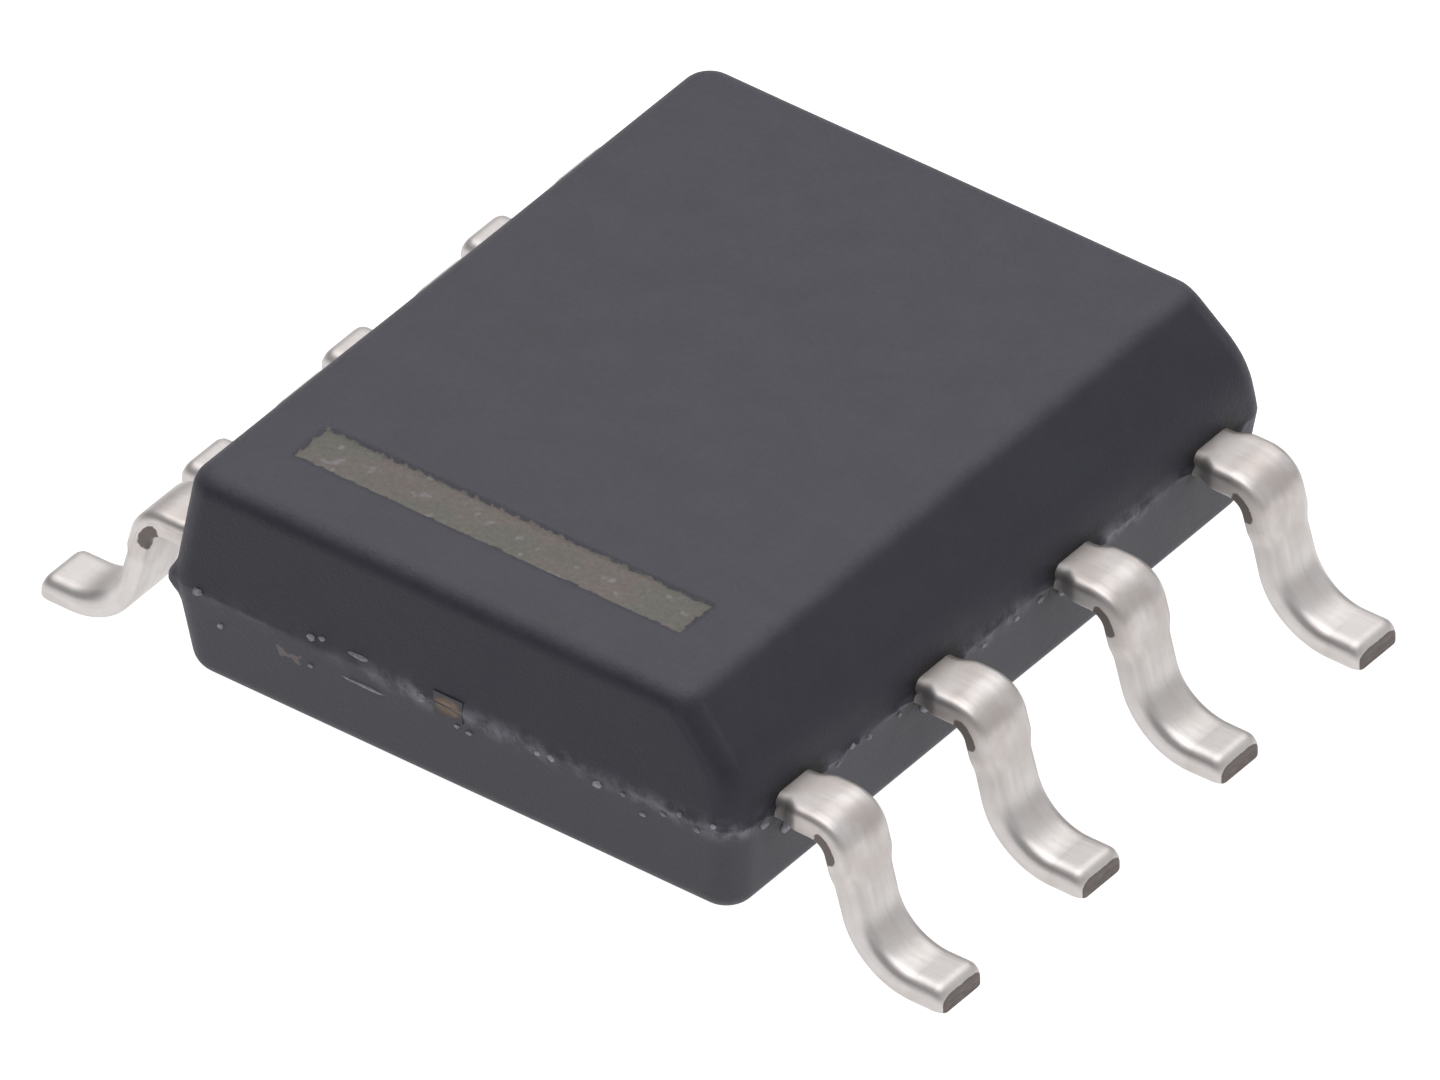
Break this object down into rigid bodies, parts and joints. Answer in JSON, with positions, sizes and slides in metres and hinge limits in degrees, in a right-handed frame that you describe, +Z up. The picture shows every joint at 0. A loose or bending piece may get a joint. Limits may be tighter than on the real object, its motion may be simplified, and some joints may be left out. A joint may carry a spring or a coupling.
{
  "type": "soic chip",
  "caption": "Small-outline integrated circuit: dark moulded plastic body with a bevelled side and an orientation bar, and gull-wing metal leads along both long sides.",
  "frame": {"origin": "under the middle of the body, on the plane that the feet stand on", "axes": "+X across the leads towards leads 1 to 4, +Y along the body away from the orientation bar, +Z up"},
  "size_m": [0.0062, 0.0048, 0.0016],
  "materials": {
    "mould_compound": "fine matt epoxy moulding compound",
    "lead_metal": "satin plated copper alloy",
    "frame_metal": "bare copper alloy",
    "silver_glue": "silver-filled epoxy",
    "silicon": "smooth silicon",
    "bond_gold": "bright gold wire"
  },
  "bodies": {
    "root": {"mould_body": "mould_compound", "pin_1_lead": "lead_metal", "pin_2_lead": "lead_metal", "pin_3_lead": "lead_metal", "pin_4_lead": "lead_metal", "pin_5_lead": "lead_metal", "pin_6_lead": "lead_metal", "pin_7_lead": "lead_metal", "pin_8_lead": "lead_metal", "die_paddle": "frame_metal", "die_attach": "silver_glue", "silicon_die": "silicon", "bond_wire_1": "bond_gold", "bond_wire_2": "bond_gold", "bond_wire_3": "bond_gold", "bond_wire_4": "bond_gold", "bond_wire_5": "bond_gold", "bond_wire_6": "bond_gold", "bond_wire_7": "bond_gold", "bond_wire_8": "bond_gold"}
  },
  "joints": []
}
